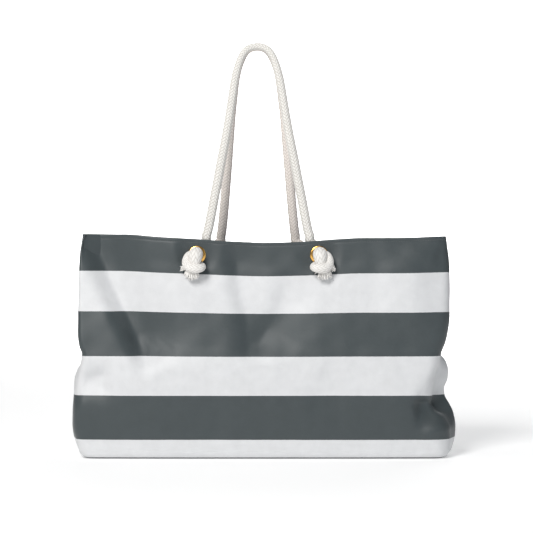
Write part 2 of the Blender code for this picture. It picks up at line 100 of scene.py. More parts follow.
def smoothstep(value, start, end):
    t = np.clip((np.asarray(value, float) - start) / (end - start), 0, 1)
    return t * t * (3 - 2 * t)


def mix(first, second, share):
    return first + (second - first) * share


def hermite(start, leave, end, arrive, t):
    """The point at share t of a curve that leaves start and arrives at end along two vectors."""
    return (
        start * (2 * t**3 - 3 * t**2 + 1) + leave * (t**3 - 2 * t**2 + t)
        + end * (3 * t**2 - 2 * t**3) + arrive * (t**3 - t**2)
    )


# ---- The bag's outer surface -----------------------------
# Heights here leave out the hem's sag. It is added last, so that the printed stripes sag too.
HEM = 0.3427
BASE_EDGE = 0.013
STRIPE_EDGES = (0.0309, 0.1008, 0.1620, 0.2295, 0.2892)
PAINTED_CONTACT_SHADE_EDGE = 0.0022  # up to here, under the rounded edge, the cloth is charcoal: painted shade for the contact shadow along the base
SAG_START = 0.10
HEM_RISE = smooth_curve(
    (-0.292, 0.0145), (-0.228, 0.0139), (-0.165, 0.0093), (-0.10, 0.0055), (-0.037, 0.0012),
    (0.0, 0.0), (0.058, 0.0015), (0.122, 0.0060), (0.155, 0.0077), (0.218, 0.0080),
    (0.292, 0.0106),
)
# How far from the middle each fold is, and the seam in the middle of each gusset.
FOLD_X = {
    "left": smooth_curve(
        (0.0, 0.2920), (0.02, 0.2970), (0.05, 0.3040), (0.10, 0.3020), (0.14, 0.2930),
        (0.163, 0.2882), (0.178, 0.2925), (0.20, 0.2950), (0.25, 0.2956), (0.31, 0.2956),
        (0.357, 0.2932),
    ),
    "right": smooth_curve(
        (0.0, 0.2960), (0.03, 0.2990), (0.07, 0.2985), (0.090, 0.2940), (0.105, 0.2915),
        (0.12, 0.2915), (0.14, 0.2910), (0.164, 0.2885), (0.180, 0.2930), (0.20, 0.2958),
        (0.23, 0.2974), (0.29, 0.2970), (0.33, 0.2940), (0.357, 0.2908),
    ),
}
SEAM_X = {
    "left": smooth_curve(
        (0.0, 0.2940), (0.015, 0.3015), (0.03, 0.3070), (0.05, 0.3095), (0.075, 0.3088),
        (0.10, 0.3070), (0.12, 0.3060), (0.139, 0.3005), (0.155, 0.2870), (0.175, 0.2690),
        (0.20, 0.2500), (0.235, 0.2380), (0.30, 0.2330), (0.357, 0.2350),
    ),
    "right": smooth_curve(
        (0.0, 0.3010), (0.015, 0.3060), (0.03, 0.3100), (0.048, 0.3112), (0.068, 0.3080),
        (0.085, 0.3010), (0.1, 0.2935), (0.11, 0.2925), (0.125, 0.2985), (0.137, 0.2995),
        (0.152, 0.2950), (0.165, 0.2830), (0.18, 0.2690), (0.20, 0.2520), (0.235, 0.2390),
        (0.30, 0.2335), (0.357, 0.2350),
    ),
}
FACE_DEPTH = smooth_curve(
    (0.0, 0.0650), (0.03, 0.0664), (0.06, 0.0684), (0.10, 0.0702), (0.14, 0.0698),
    (0.18, 0.0632), (0.22, 0.0568), (0.26, 0.0508), (0.29, 0.0468), (0.31, 0.0451),
    (0.33, 0.0450), (0.357, 0.0450),
)
# How far the cloth swells out under the hem. This ends towards the sides and at the grommets.
UPPER_SWELL = smooth_curve(
    (0.18, 0.0), (0.24, 0.0020), (0.29, 0.0042), (0.315, 0.0028), (0.357, 0.0)
)
SWELL_FADE = (0.20, 0.275)
FOLD_RADIUS = {
    "left": smooth_curve((0.0, 0.024), (0.04, 0.020), (0.12, 0.020), (0.155, 0.014), (0.19, 0.008),
                         (0.25, 0.007), (0.357, 0.005)),
    "right": smooth_curve((0.0, 0.026), (0.08, 0.032), (0.12, 0.036), (0.15, 0.032), (0.19, 0.026),
                          (0.23, 0.018), (0.30, 0.012), (0.357, 0.006)),
}
FACE_BOW = smooth_curve((0.0, 0.002), (0.06, 0.004), (0.18, 0.004), (0.26, 0.007), (0.357, 0.012))
FLAT_HALF = 0.12  # the face only bows back further out than this
BULGE_SHARE = smooth_curve((0.0, 1.0), (0.13, 1.0), (0.165, 0.0), (0.357, 0.0))

HEM_ALLOWANCE = 0.0055  # from the hem's edge down to its stitches, in a shallow groove
GROOVE_DEPTH, GROOVE_HALF_WIDTH = 0.0005, 0.0009
FINE_RIPPLE, BROAD_RIPPLE = (0.0016, 0.020), (0.0020, 0.055)  # height and scale
BASE_HOLD = (0.002, 0.030)  # heights between which the cloth comes free of the base
CLAMP_FADE = (0.015, 0.040)  # distances from a grommet's middle over which its hold ends
SEAM_COLUMNS = 8  # over which a gusset's seam holds the cloth flat
FACE_FADE, BUCKLE_FADE = (0.55, 0.95), (0.0, 0.6)  # shares of the way from a seam to the face
FACE_STEPS, FOLD_STEPS, WING_STEPS = 148, 12, 22
ROW_STEP = 0.0033


def base_inset(z):
    """How far the rounded edge of the base draws the walls in at height z."""
    low = np.clip(BASE_EDGE - z, 0, BASE_EDGE)
    return BASE_EDGE - math.sqrt(BASE_EDGE**2 - low**2)


def side_outline(z, side):
    """From the fold's start to the seam, for the front, as if the side were the right one."""
    inset = base_inset(z)
    width, seam = float(FOLD_X[side](z)) - inset, float(SEAM_X[side](z)) - inset
    depth = float(FACE_DEPTH(z)) - inset - float(FACE_BOW(z))
    radius = float(FOLD_RADIUS[side](z)) - 0.8 * inset
    centre = Vector((width - radius, radius - depth))
    reach = Vector((seam, 0.0)) - centre
    leaves = math.atan2(reach.y, reach.x) - math.acos(min(1.0, radius / reach.length))
    points = []
    for angle in np.linspace(-math.pi / 2, leaves, FOLD_STEPS).tolist():
        points.append(centre + radius * Vector((math.cos(angle), math.sin(angle))))
    start, end = points[-1], Vector((seam, 0.0))
    length = (end - start).length
    leave = Vector((-math.sin(leaves), math.cos(leaves))) * length
    straight = end - start
    arrive = straight.lerp(Vector((0.0, length)), float(BULGE_SHARE(z)))
    for t in np.linspace(0, 1, WING_STEPS + 1)[1:].tolist():
        points.append(hermite(start, leave, end, arrive, t))
    return points


def section_row(z):
    left = [Vector((-p.x, p.y)) for p in side_outline(z, "left")]
    right = side_outline(z, "right")
    face = [left[0].lerp(right[0], t) for t in np.linspace(0, 1, FACE_STEPS + 1)[1:-1]]
    for point in face:
        end = right[0].x if point.x > 0 else -left[0].x
        out = max(0.0, (abs(point.x) - FLAT_HALF) / (end - FLAT_HALF))
        point.y -= float(FACE_BOW(z)) * (1 - out * out)
    return [(p.x, p.y, z) for p in [*reversed(left), *face, *right]]


# Valleys (negative) and ridges in the cloth: height, half widths left and right of the route
# (above and below one that runs left), how far each end fades, and the route's (x, z) points.
FRONT_FOLDS = (
    (-0.0225, 0.0190, 0.058, 0.080, ((-0.318, 0.400), (-0.272, 0.333), (-0.238, 0.267),
                                     (-0.204, 0.204), (-0.172, 0.125))),
    (-0.0085, 0.0160, 0.036, 0.045, ((-0.046, 0.355), (-0.040, 0.300), (-0.030, 0.250),
                                     (-0.022, 0.200), (-0.020, 0.145))),
    (-0.0090, 0.0190, 0.046, 0.060, ((0.060, 0.310), (0.046, 0.276), (0.027, 0.236),
                                     (0.006, 0.198), (-0.006, 0.155))),
    (-0.0036, 0.0200, 0.060, 0.050, ((0.122, 0.180), (0.100, 0.110), (0.078, 0.050))),
    (-0.0120, 0.0150, 0.0270, 0.030, ((-0.232, 0.136), (-0.280, 0.124), (-0.340, 0.120))),
    (0.0110, 0.0850, 0.0450, 0.060, ((0.240, 0.352), (0.236, 0.262), (0.225, 0.175))),
    (-0.0026, 0.0050, 0.0120, 0.014, ((-0.252, 0.158), (-0.250, 0.121))),
    (0.0020, 0.0100, 0.0150, 0.020, ((0.274, 0.066), (0.262, 0.038), (0.252, 0.010))),
    (0.0040, 0.0300, 0.0120, 0.022, ((0.286, 0.356), (0.270, 0.322), (0.252, 0.292))),
    (-0.0030, 0.0300, 0.0400, 0.050, ((0.190, 0.350), (0.180, 0.270), (0.150, 0.200))),
    (-0.0026, 0.0300, 0.0300, 0.040, ((-0.130, 0.090), (-0.090, 0.060), (-0.050, 0.030))),
    (0.0022, 0.0160, 0.0200, 0.030, ((-0.130, 0.352), (-0.150, 0.300))),
)
BACK_FOLDS = (
    (-0.0085, 0.0400, 0.0140, 0.020, ((0.284, 0.350), (0.255, 0.290), (0.222, 0.225),
                                      (0.200, 0.170))),
    (-0.0060, 0.0330, 0.0160, 0.035, ((0.040, 0.345), (0.044, 0.285), (0.036, 0.220),
                                      (0.030, 0.160))),
    (-0.0055, 0.0300, 0.0180, 0.035, ((-0.072, 0.300), (-0.050, 0.255), (-0.022, 0.205))),
    (-0.0060, 0.0150, 0.0360, 0.030, ((-0.286, 0.340), (-0.262, 0.275), (-0.236, 0.200))),
    (-0.0035, 0.0500, 0.0220, 0.050, ((0.150, 0.120), (0.100, 0.050))),
    (-0.0030, 0.0200, 0.0500, 0.050, ((-0.170, 0.125), (-0.130, 0.055))),
)
ROUTE_SAMPLES = 140
SIDE_BLEND = 0.008  # half the width over which a fold's two half widths blend
# The buckle in the lower right end: below a slanting edge the cloth turns away down to a crease.
BUCKLE_Z = {"front": 0.0890, "back": 0.0930}  # the crease's height
CREASE_RISE, CREASE_RISE_X = 0.007, (0.255, 0.305)  # the crease climbs towards the side
BUCKLE_EDGE, BUCKLE_ACROSS, EDGE_SOFTNESS = (0.286, 0.165), (0.819, -0.574), 0.005
BUCKLE_DEPTH, BUCKLE_SLOPE = 0.0205, 0.90
LIP_DEPTH, LIP_HEIGHT = 0.0060, 0.009  # the crease's own extra depth
BUCKLE_RETURN = 0.050  # the height in which the cloth below comes back out
BUCKLE_START_X = (0.230, 0.250)
BUCKLE_SAG, BUCKLE_SAG_X = 0.0026, (0.232, 0.285)  # the cloth also sags around the crease
BUCKLE_SAG_Z, BUCKLE_SAG_HALF = 0.102, 0.024


def distance_to_route(x, z, route):
    """How far right of a downward route each point is, how far along it, and its length."""
    knots = np.array(route, float)
    lengths = np.concatenate([[0], np.cumsum(np.linalg.norm(np.diff(knots, axis=0), axis=1))])
    run = np.linspace(0, lengths[-1], ROUTE_SAMPLES)
    curves = [smooth_curve(*zip(lengths, knots[:, axis])) for axis in (0, 1)]
    line = np.stack([curve(run) for curve in curves], axis=1)
    ahead = np.gradient(line, axis=0)
    gaps = np.sqrt((x[..., None] - line[:, 0]) ** 2 + (z[..., None] - line[:, 1]) ** 2)
    nearest = gaps.argmin(axis=-1)
    turn = ahead[nearest, 0] * (z - line[nearest, 1]) - ahead[nearest, 1] * (x - line[nearest, 0])
    return gaps.min(axis=-1) * np.where(turn < 0, -1, 1), run[nearest], lengths[-1]


def fold_relief(x, z, folds):
    relief = np.zeros_like(x)
    for depth, left, right, fade, route in folds:
        gap, along, length = distance_to_route(x, z, route)
        width = left + (right - left) * smoothstep(gap, -SIDE_BLEND, SIDE_BLEND)
        ends = smoothstep(along, 0, fade) * smoothstep(length - along, 0, fade)
        relief += depth * np.exp(-((gap / width) ** 2)) * ends
    return relief


def buckle_relief(x, z, crease):
    """Below a slanting edge the cloth turns away down to a crease, then comes back out."""
    crease = crease + CREASE_RISE * smoothstep(x, *CREASE_RISE_X)
    above = np.maximum(z, crease)
    slant = (x - BUCKLE_EDGE[0]) * BUCKLE_ACROSS[0] + (above - BUCKLE_EDGE[1]) * BUCKLE_ACROSS[1]
    turned = np.logaddexp(0, slant / EDGE_SOFTNESS) * EDGE_SOFTNESS
    depth = BUCKLE_DEPTH * np.tanh(BUCKLE_SLOPE * turned / BUCKLE_DEPTH)
    lip = LIP_DEPTH * np.exp(-np.maximum(z - crease, 0) / LIP_HEIGHT)
    below = 1 - smoothstep(crease - z, 0, BUCKLE_RETURN)
    return -(depth + lip) * below * smoothstep(x, *BUCKLE_START_X)


def ripple(x, z, seed, scale):
    """Slow, small unevenness, from a few sine waves."""
    source = np.random.default_rng(seed)
    total = np.zeros_like(x)
    for _ in range(9):
        kx, kz = source.normal(0, 1 / scale, 2)
        total += np.sin(kx * x + kz * z + source.uniform(0, 2 * math.pi))
    return total / 9


def panel_rows():
    """Heights of the rows, close together at the base's edge and across the stitches' groove."""
    heights = [0.0, 0.0006, 0.0016, 0.0030, 0.0048, 0.0070, 0.0098]
    top = HEM - HEM_ALLOWANCE - 0.0030
    heights += list(np.linspace(BASE_EDGE, top, round((top - BASE_EDGE) / ROW_STEP) + 1))
    heights += [top + rise for rise in (0.0014, 0.0023, 0.0030, 0.0037, 0.0046, 0.0064)]
    return [*heights, HEM]


def normals_of(grid):
    right = grid[:-1, 1:] - grid[:-1, :-1]
    up = grid[1:, :-1] - grid[:-1, :-1]
    faces = np.cross(right, up)
    faces /= np.maximum(np.linalg.norm(faces, axis=2, keepdims=True), 1e-12)
    normals = np.zeros_like(grid)
    for row in (0, 1):
        for column in (0, 1):
            end_row, end_column = grid.shape[0] - 1 + row, grid.shape[1] - 1 + column
            normals[row:end_row, column:end_column] += faces
    return normals / np.maximum(np.linalg.norm(normals, axis=2, keepdims=True), 1e-12)


def near_eyelets(x, z, face):
    """1 where the cloth is clamped flat under a grommet, falling to 0 around it."""
    hold = np.zeros_like(x)
    for side in SIDE_SIGN:
        centre = EYELETS[face, side]
        gap = np.sqrt((x - centre.x) ** 2 + (z - centre.z) ** 2)
        hold = np.maximum(hold, 1 - smoothstep(gap, *CLAMP_FADE))
    return hold


def panel_relief(face, x, z):
    """How far out of the smooth shape each point of a panel stands."""
    wing = np.linspace(0, 1, WING_STEPS + FOLD_STEPS)  # from a gusset's seam to the face
    on_face, to_seam, seams = np.ones((3, x.shape[1]))
    on_face[: len(wing)] = smoothstep(wing, *FACE_FADE)
    on_face[-len(wing):] = smoothstep(wing[::-1], *FACE_FADE)
    to_seam[-len(wing):] = smoothstep(wing[::-1], *BUCKLE_FADE)
    seams[:SEAM_COLUMNS] = np.linspace(0, 1, SEAM_COLUMNS)
    seams[-SEAM_COLUMNS:] = np.linspace(1, 0, SEAM_COLUMNS)
    folds, seed = (FRONT_FOLDS, 3) if face == "front" else (BACK_FOLDS, 8)
    relief = fold_relief(x, z, folds) * on_face
    fine, broad = ripple(x, z, seed, FINE_RIPPLE[1]), ripple(x, z, seed + 20, BROAD_RIPPLE[1])
    relief += FINE_RIPPLE[0] * fine + BROAD_RIPPLE[0] * broad
    relief -= GROOVE_DEPTH * np.exp(-(((z - HEM + HEM_ALLOWANCE) / GROOVE_HALF_WIDTH) ** 2))
    relief += UPPER_SWELL(z) * (1 - smoothstep(np.abs(x), *SWELL_FADE)) * on_face
    relief += buckle_relief(x, z, BUCKLE_Z[face]) * to_seam
    # Held flat at the grommets, along the base and at the seams.
    relief *= 1 - near_eyelets(x, z, face)
    relief *= smoothstep(z, *BASE_HOLD)
    return relief * seams


def panel_surface(face):
    """The outer surface of a panel as a grid, its outward offsets and its printed coordinates."""
    grid = np.array([section_row(z) for z in panel_rows()])
    rows, columns = grid.shape[:2]
    x, z = grid[..., 0], grid[..., 2]
    run = np.linalg.norm(np.diff(grid[..., :2], axis=1), axis=2)
    across = np.concatenate([np.zeros((rows, 1)), np.cumsum(run, axis=1)], axis=1)
    across -= across[:, [columns // 2]]
    grid += normals_of(grid) * panel_relief(face, x, z)[..., None]
    share = (np.clip(z - SAG_START, 0, None) / (HEM - SAG_START)) ** 2
    printed = np.stack([across, z.copy(), np.zeros_like(z)], axis=2)
    grid[..., 2] += HEM_RISE(x) * share
    sunk = np.exp(-(((z - BUCKLE_SAG_Z) / BUCKLE_SAG_HALF) ** 2)) * smoothstep(x, *BUCKLE_SAG_X)
    grid[..., 2] -= BUCKLE_SAG * sunk
    grid[:, (0, -1), 1] = -SEAM_GAP / 2
    grid[..., 1] = np.minimum(grid[..., 1], -SEAM_GAP / 2)
    offsets = normals_of(grid)
    edge = offsets[:, (0, -1)]
    edge[..., 1] = 0
    offsets[:, (0, -1)] = edge / np.maximum((edge**2).sum(axis=2, keepdims=True), 0.3)
    offsets[0] = (0, 0, -1)
    if face == "back":
        for array in (grid, offsets):
            array[..., 1] *= -1
    return grid, offsets, printed


# ---- Making meshes ---------------------------------------
class Build:
    """Collects points and faces, with a printed coordinate and a relief value at each point."""

    def __init__(self):
        self.points, self.faces, self.printed, self.relief = [], [], [], []

    def add(self, points, printed=None, relief=None):
        start = len(self.points)
        points = np.asarray(points, float).reshape(-1, 3)
        self.points.extend(points.tolist())
        empty = np.zeros((len(points), 3))
        self.printed.extend((empty if printed is None else np.reshape(printed, (-1, 3))).tolist())
        flat = np.ones(len(points)) if relief is None else np.reshape(relief, -1)
        self.relief.extend(np.asarray(flat, float).tolist())
        return start

    def grid_faces(self, start, rows, columns, close_rows=False, close_columns=False):
        """Quads between the points of a grid, whose last row or column may join its first."""
        for row in range(rows if close_rows else rows - 1):
            near, far = start + row * columns, start + (row + 1) % rows * columns
            for column in range(columns if close_columns else columns - 1):
                beside = (column + 1) % columns
                self.faces.append((near + column, near + beside, far + beside, far + column))

    def tube(self, rings, relief=None):
        """A tube through rings of points, closed at both ends."""
        count, around = rings.shape[:2]
        start = self.add(rings, None, relief)
        self.grid_faces(start, count, around, close_columns=True)
        for first in (start, start + (count - 1) * around):
            self.faces.append([first + column for column in range(around)])

    def finish(self, name, finish, smooth=True, sharp_angle=None):
        mesh = bpy.data.meshes.new(name)
        mesh.from_pydata(self.points, [], self.faces)
        mesh.validate()
        for label, kind, key, values in (
            ("printed", "FLOAT_VECTOR", "vector", self.printed),
            ("relief", "FLOAT", "value", self.relief),
        ):
            attribute = mesh.attributes.new(label, kind, "POINT")
            attribute.data.foreach_set(key, np.array(values, np.float32).ravel())
        bm = bmesh.new()
        bm.from_mesh(mesh)
        bmesh.ops.recalc_face_normals(bm, faces=bm.faces)
        bm.to_mesh(mesh)
        bm.free()
        if smooth:
            mesh.shade_smooth()
        if sharp_angle is not None:
            mesh.set_sharp_from_angle(angle=math.radians(sharp_angle))
        mesh.materials.append(finish)
        piece = bpy.data.objects.new(name, mesh)
        bpy.context.scene.collection.objects.link(piece)
        return piece


def cloth_sheet(name, surface, depths, finish, rows=None, has_base=False, edge_round=0.0):
    """A closed sheet of cloth between two depths behind a surface."""
    grid, offsets, printed = surface
    if rows is not None:
        grid, offsets, printed = grid[rows], offsets[rows], printed[rows]
    height, width = grid.shape[:2]
    build = Build()
    starts = []
    for depth in depths:
        places = grid - offsets * depth
        if edge_round:
            places[-1, :, 2] -= edge_round
        starts.append(build.add(places, printed))
        build.grid_faces(starts[-1], height, width)
    near, far = starts
    rims = [[(height - 1) * width + column for column in range(width)]]
    if not has_base:
        rims.append(list(range(width)))
    rims.append([row * width for row in range(height)])
    rims.append([row * width + width - 1 for row in range(height)])
    if edge_round:
        middle = build.add(grid[-1] - offsets[-1] * (sum(depths) / 2), printed[-1])
        for column in range(width - 1):
            for layer in (near, far):
                a = layer + (height - 1) * width + column
                build.faces.append((a, a + 1, middle + column + 1, middle + column))
        for column in (0, width - 1):
            corner = (height - 1) * width + column
            build.faces.append((near + corner, far + corner, middle + column))
        rims = rims[1:]
    for rim in rims:
        for a, b in zip(rim, rim[1:]):
            build.faces.append((near + a, near + b, far + b, far + a))
    if has_base:
        for layer in (near, far):
            build.faces.append([layer + column for column in range(width)])
        build.faces.append((near, near + width - 1, far + width - 1, far))
    return build.finish(name, finish)


# ---- Materials -------------------------------------------
class Nodes:
    """A short way to write a material's nodes."""

    def __init__(self, name):
        self.material = bpy.data.materials.new(name)
        self.material.use_nodes = True
        self.tree = self.material.node_tree
        self.shader = self.tree.nodes["Principled BSDF"]

    def link(self, value, socket):
        if isinstance(value, bpy.types.NodeSocket):
            self.tree.links.new(value, socket)
        else:
            socket.default_value = value

    def math(self, operation, first, second=0.0, third=0.0):
        node = self.tree.nodes.new("ShaderNodeMath")
        node.operation = operation
        for socket, value in zip(node.inputs, (first, second, third)):
            self.link(value, socket)
        return node.outputs[0]

    def attribute(self, name, output="Vector"):
        node = self.tree.nodes.new("ShaderNodeAttribute")
        node.attribute_name = name
        return node.outputs[output]

    def split(self, vector):
        node = self.tree.nodes.new("ShaderNodeSeparateXYZ")
        self.link(vector, node.inputs[0])
        return tuple(node.outputs)

    def noise(self, scale, detail, roughness=0.5):
        place = self.tree.nodes.new("ShaderNodeTexCoord").outputs["Object"]
        node = self.tree.nodes.new("ShaderNodeTexNoise")
        self.link(place, node.inputs["Vector"])
        node.inputs["Scale"].default_value = scale
        node.inputs["Detail"].default_value = detail
        node.inputs["Roughness"].default_value = roughness
        return node.outputs["Fac"]

    def ramp(self, value, low, high, first, second):
        """first where value is low, second where it is high, and between them in between."""
        node = self.tree.nodes.new("ShaderNodeMapRange")
        node.interpolation_type = "SMOOTHSTEP"
        for key, setting in (("Value", value), ("From Min", low), ("From Max", high),
                             ("To Min", first), ("To Max", second)):
            self.link(setting, node.inputs[key])
        return node.outputs[0]

    def colour(self, share, first, second, blend="MIX"):
        node = self.tree.nodes.new("ShaderNodeMix")
        node.data_type, node.blend_type = "RGBA", blend
        self.link(share, node.inputs[0])
        for socket, value in ((node.inputs[6], first), (node.inputs[7], second)):
            self.link((*value, 1.0) if isinstance(value, tuple) else value, socket)
        return node.outputs[2]

    def bump(self, height, strength, distance):
        node = self.tree.nodes.new("ShaderNodeBump")
        node.inputs["Strength"].default_value = strength
        node.inputs["Distance"].default_value = distance
        self.link(height, node.inputs["Height"])
        self.link(node.outputs[0], self.shader.inputs["Normal"])

    def set(self, **settings):
        """Sets the shader's own sockets, named with _ for each space."""
        for key, value in settings.items():
            socket = self.shader.inputs[key.replace("_", " ")]
            self.link((*value, 1.0) if isinstance(value, tuple) else value, socket)


def weave_height(nodes, thread):
    """A plain weave: warp and weft threads that take turns on top."""
    u, v, _ = nodes.split(nodes.attribute("printed"))
    across = nodes.math("DIVIDE", u, thread)
    along = nodes.math("DIVIDE", v, thread)
    wave_u = nodes.math("SINE", nodes.math("MULTIPLY", across, math.pi))
    wave_v = nodes.math("SINE", nodes.math("MULTIPLY", along, math.pi))
    over = nodes.math("MULTIPLY", wave_u, wave_v)
    return nodes.math("MULTIPLY_ADD", over, 0.5, 0.5)


WHITE_CLOTH, WHITE_LINT = (0.668, 0.674, 0.684), (0.72, 0.73, 0.74)
CHARCOAL_CLOTH, CHARCOAL_LINT = (0.051, 0.063, 0.067), (0.20, 0.22, 0.225)
CANVAS_THREAD, LINING_THREAD, TAPE_THREAD = 0.00085, 0.0006, 0.0005
PRINT_EDGE = 0.0003  # how soft a printed edge is
PRINT_WANDER = 0.0008  # between the highest and lowest place of a printed edge


def canvas_material(name, striped):
    nodes = Nodes(name)
    _, height, _ = nodes.split(nodes.attribute("printed"))
    wander = nodes.noise(900.0, 1.0)
    wander = nodes.math("MULTIPLY_ADD", wander, PRINT_WANDER, -PRINT_WANDER / 2)
    height = nodes.math("ADD", height, wander)
    if striped:
        # Charcoal where the stripes are printed, and below the base's edge as painted shade for the
        # contact shadow.
        charcoal_print_and_shade = nodes.ramp(height, PAINTED_CONTACT_SHADE_EDGE, PAINTED_CONTACT_SHADE_EDGE + PRINT_EDGE, 1.0, 0.0)
        for index, edge in enumerate(STRIPE_EDGES):
            step = nodes.ramp(height, edge - PRINT_EDGE, edge + PRINT_EDGE, 0.0, 1.0)
            charcoal_print_and_shade = nodes.math("ADD" if index % 2 == 0 else "SUBTRACT", charcoal_print_and_shade, step)
    weave = weave_height(nodes, CANVAS_THREAD)
    mottle = nodes.noise(70.0, 4.0)
    lint = nodes.noise(2400.0, 2.0)
    # Random mottle in the cloth's tone, times painted shade between the weave's threads.
    mottle_and_weave_shade = nodes.math("MULTIPLY_ADD", mottle, 0.16, 0.92)
    mottle_and_weave_shade = nodes.math("MULTIPLY", mottle_and_weave_shade, nodes.math("MULTIPLY_ADD", weave, 0.14, 0.90))
    colour = nodes.colour(nodes.ramp(lint, 0.55, 0.75, 0.0, 0.12), CHARCOAL_CLOTH, CHARCOAL_LINT)
    if striped:
        white = nodes.colour(nodes.ramp(lint, 0.55, 0.8, 0.0, 0.25), WHITE_CLOTH, WHITE_LINT)
        colour = nodes.colour(charcoal_print_and_shade, white, colour)
    grey = nodes.tree.nodes.new("ShaderNodeCombineColor")
    for socket in grey.inputs[:3]:
        nodes.link(mottle_and_weave_shade, socket)
    colour = nodes.colour(1.0, colour, grey.outputs[0], blend="MULTIPLY")
    nodes.set(Base_Color=colour, Roughness=nodes.math("MULTIPLY_ADD", mottle, 0.08, 0.42))
    nodes.set(Specular_IOR_Level=0.42, Sheen_Weight=0.04, Sheen_Roughness=0.45)
    creases = nodes.noise(38.0, 5.0, roughness=0.6)
    relief = nodes.math("ADD", nodes.math("MULTIPLY", weave, 0.30), creases)
    nodes.bump(relief, 0.22, 0.0012)
    return nodes.material


def lining_material():
    nodes = Nodes("lining_cotton")
    weave = weave_height(nodes, LINING_THREAD)
    mottle = nodes.noise(55.0, 4.0)
    colour = nodes.colour(mottle, (0.60, 0.575, 0.52), (0.68, 0.655, 0.60))
    nodes.set(Base_Color=colour, Roughness=nodes.math("MULTIPLY_ADD", weave, 0.1, 0.72))
    nodes.set(Sheen_Weight=0.2)
    nodes.bump(nodes.math("MULTIPLY_ADD", weave, 0.3, mottle), 0.25, 0.0008)
    return nodes.material


def rope_material(name, gap, strand):
    """Braided cotton: gap is the painted shade between the strands, strand the colour on top of
    them.
    """
    nodes = Nodes(name)
    relief = nodes.attribute("relief", "Fac")
    fibre = nodes.noise(1500.0, 3.0)
    blotch = nodes.noise(60.0, 3.0)
    # Painted shade in the crevices between strands, where the braid's relief is low.
    painted_crevice_shade = nodes.colour(blotch, tuple(0.85 * part for part in gap), gap)
    top = nodes.colour(blotch, tuple(0.94 * part for part in strand), strand)
    colour = nodes.colour(nodes.ramp(relief, 0.05, 0.80, 0.0, 1.0), painted_crevice_shade, top)
    nodes.set(Base_Color=colour, Roughness=nodes.math("MULTIPLY_ADD", fibre, 0.1, 0.82))
    nodes.set(Specular_IOR_Level=0.2, Sheen_Weight=0.35, Sheen_Roughness=0.5)
    nodes.bump(fibre, 0.35, 0.0004)
    return nodes.material


def metal_material(name, colour, worn, roughness):
    nodes = Nodes(name)
    haze = nodes.noise(260.0, 4.0)
    brushed = nodes.noise(900.0, 2.0)
    nodes.set(Base_Color=nodes.colour(haze, colour, worn), Metallic=1.0,
              Roughness=nodes.math("MULTIPLY_ADD", haze, 0.12, roughness))
    nodes.bump(brushed, 0.04, 0.0002)
    return nodes.material


def grained_material(name, scale, low, high, roughness, bump):
    """Fine noise mixes two colours and drives roughness (spread, least) and bump (strength, m)."""
    nodes = Nodes(name)
    grain = nodes.noise(*scale)
    nodes.set(Base_Color=nodes.colour(grain, low, high),
              Roughness=nodes.math("MULTIPLY_ADD", grain, *roughness))
    nodes.bump(grain, *bump)
    return nodes.material


def tape_material():
    nodes = Nodes("zip_tape_weave")
    weave = weave_height(nodes, TAPE_THREAD)
    # The tape is darker between its threads: painted shade.
    nodes.set(Base_Color=nodes.colour(weave, (0.46, 0.44, 0.40), (0.58, 0.56, 0.52)), Roughness=0.8)
    nodes.bump(weave, 0.3, 0.0003)
    return nodes.material


def studio_material(name, roughness, glow):
    nodes = Nodes(name)
    nodes.set(Base_Color=(0.9, 0.9, 0.9), Roughness=roughness)
    nodes.set(Emission_Color=(1.0, 1.0, 1.0), Emission_Strength=glow)
    return nodes.material


# ---- Rope ------------------------------------------------
APEX_HEIGHT, APEX_DEPTH, APEX_LEAN = 0.6607, 0.0078, -0.0015
LOOP_FOOT, FOOT_STRAIGHT, LEG_DEPTH = 0.3502, 0.0035, 0.0337
END_TOP, INNER_DEPTH = 0.3496, 0.0310
TURN_RADIUS, TURN_DEPTH = 0.0085, 0.0395
LEG_SPREAD = {"front": 0.0826, "back": 0.0612}
# A loop's shape as (drop below the apex, half spread), as in the CAD.
LOOP = {
    "front": (
        (0.0, 0.0), (0.0012, 0.0085), (0.0050, 0.0164), (0.0110, 0.0218), (0.0180, 0.0258),
        (0.0270, 0.0293), (0.0387, 0.0328), (0.0549, 0.0365), (0.0872, 0.0415), (0.1114, 0.0452),
        (0.1357, 0.0492), (0.1601, 0.0536), (0.1843, 0.0583), (0.2167, 0.0643), (0.2492, 0.0705),
        (0.2653, 0.0734), (0.2814, 0.0764), (0.2990, 0.0801),
    ),
    "back": (
        (0.0, 0.0), (0.0012, 0.0085), (0.0050, 0.0160), (0.0110, 0.0210), (0.0180, 0.0248),
        (0.0270, 0.0288), (0.0387, 0.0326), (0.0549, 0.0361), (0.0872, 0.0402), (0.1114, 0.0430),
        (0.1575, 0.0470), (0.1978, 0.0504), (0.2469, 0.0545), (0.2796, 0.0576), (0.2990, 0.0598),
    ),
}
# The rope's radius by height: pulled thin where it is held up, full at the hem.
ROPE_SWELL = smooth_curve((0.33, 0.0077), (0.46, 0.0076), (0.55, 0.0070), (0.61, 0.0066),
                          (0.645, 0.0059), (0.668, 0.0054))
ROUTE_SPACING, BRAID_SPACING = 0.003, 0.00085


def smooth_path(route, spacing):
    """Points about a spacing apart on a smooth curve through the route's points."""
    route = [Vector(point) for point in route]
    ends = [2 * route[0] - route[1], *route, 2 * route[-1] - route[-2]]
    path = [route[0]]
    for before, start, end, after in zip(ends, ends[1:], ends[2:], ends[3:]):
        length = (end - start).length
        leave = (end - before) * length / ((start - before).length + length)
        arrive = (after - start) * length / ((after - end).length + length)
        steps = max(1, round(length / spacing))
        for step in range(1, steps + 1):
            path.append(hermite(start, leave, end, arrive, step / steps))
    return np.array([tuple(point) for point in path])


def even_path(path, spacing):
    """The same line with points exactly as far apart as each other."""
    gaps = np.linalg.norm(np.diff(path, axis=0), axis=1)
    run = np.concatenate([[0], np.cumsum(gaps)])
    count = max(2, round(run[-1] / spacing) + 1)
    want = np.linspace(0, run[-1], count)
    return np.stack([np.interp(want, run, path[:, axis]) for axis in range(3)], axis=1), want


